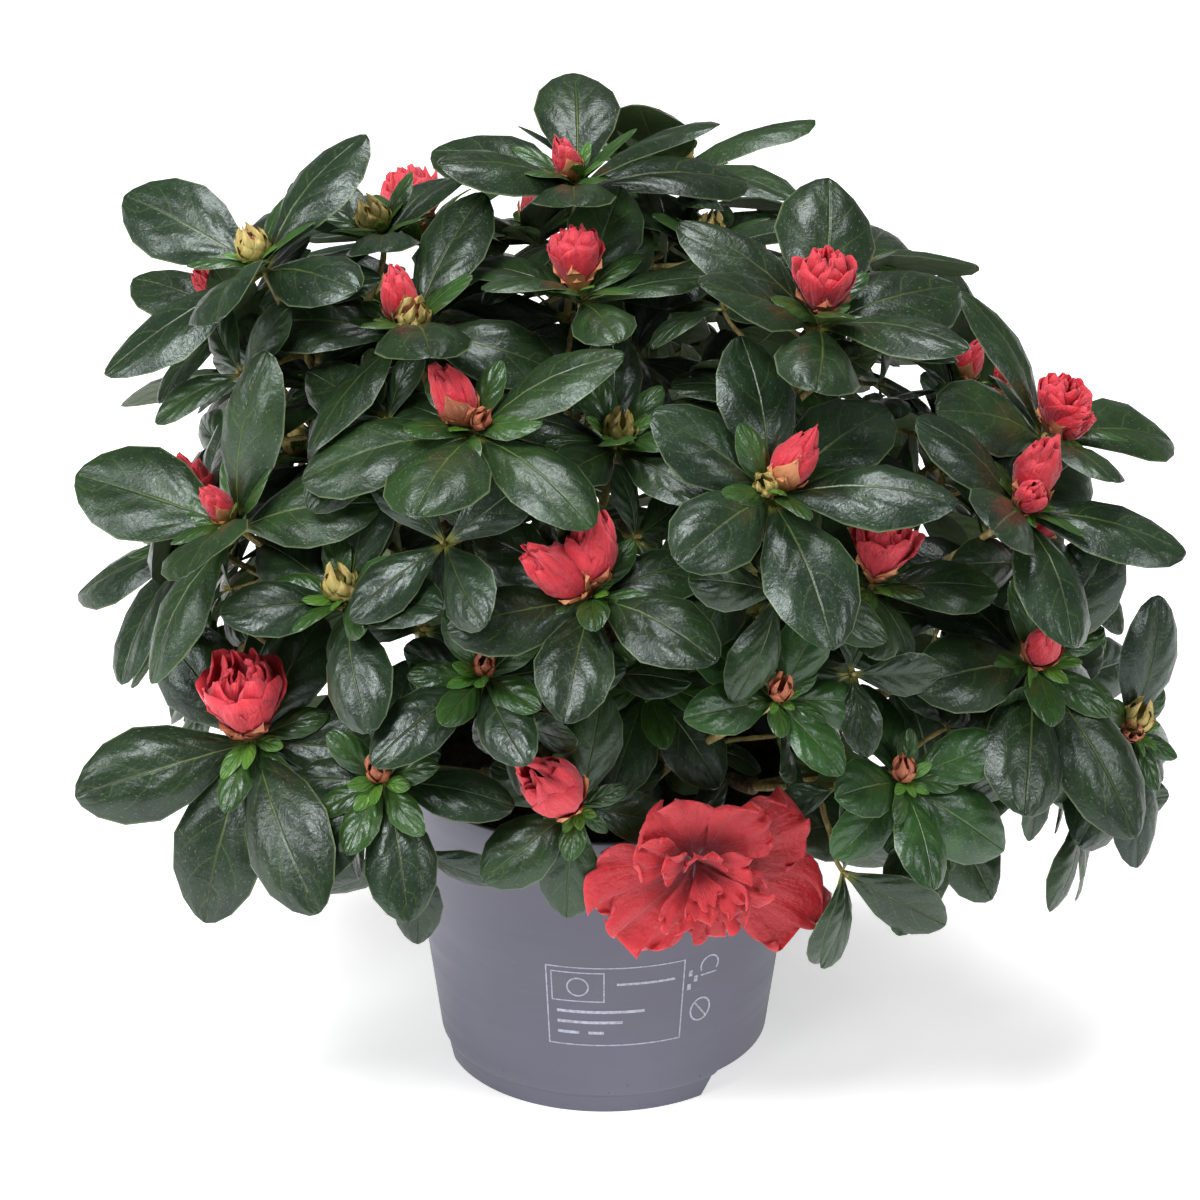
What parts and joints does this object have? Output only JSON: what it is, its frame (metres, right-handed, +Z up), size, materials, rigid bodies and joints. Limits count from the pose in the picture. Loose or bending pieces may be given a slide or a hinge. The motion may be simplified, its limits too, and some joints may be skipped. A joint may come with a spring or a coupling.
{
  "type": "azalea shrub in a pot",
  "caption": "Rounded evergreen azalea with leathery leaves, red buds and one open red bloom, in a tapered grey plastic nursery pot with two notches in its foot.",
  "frame": {"origin": "centre of the pot's flat underside pad", "axes": "+Z up through the stem; -Y is the front, the side with the open bloom; +X to the right seen from the front"},
  "size_m": [0.3672, 0.3135, 0.3328],
  "materials": {
    "pot_plastic": "smooth satin moulded polypropylene",
    "peat": null,
    "bark": "thin smooth bark, brown at the fork and greenish tan on the twigs",
    "leaf": "glossy dark green leathery leaves with red buds and blooms"
  },
  "bodies": {
    "root": {"pot": "pot_plastic", "peat": "peat", "stem": "bark", "bough_top": "bark", "bough_high_left": "bark", "bough_left": "bark", "bough_low_left": "bark", "bough_front": "bark", "bough_low_front": "bark", "bough_high_right": "bark", "bough_right": "bark", "bough_low_right": "bark", "bough_high_back": "bark", "bough_back": "bark", "bough_back_right": "bark", "bough_back_left": "bark", "foliage_crown_top": "leaf", "foliage_high_back": "leaf", "foliage_high_left": "leaf", "foliage_shoulder_left": "leaf", "foliage_left": "leaf", "foliage_far_left": "leaf", "foliage_low_left": "leaf", "foliage_face_left": "leaf", "foliage_face_right": "leaf", "foliage_front": "leaf", "foliage_low_front": "leaf", "foliage_bloom_front": "leaf", "foliage_front_right": "leaf", "foliage_low_mid_right": "leaf", "foliage_low_far_right": "leaf", "foliage_high_right": "leaf", "foliage_far_right": "leaf", "foliage_right": "leaf", "foliage_low_right": "leaf", "foliage_mid_right": "leaf", "foliage_high_back_left": "leaf", "foliage_high_back_right": "leaf", "foliage_back": "leaf", "foliage_low_back": "leaf", "foliage_back_right": "leaf", "foliage_low_back_right": "leaf", "foliage_back_left": "leaf", "foliage_low_back_left": "leaf"}
  },
  "joints": []
}
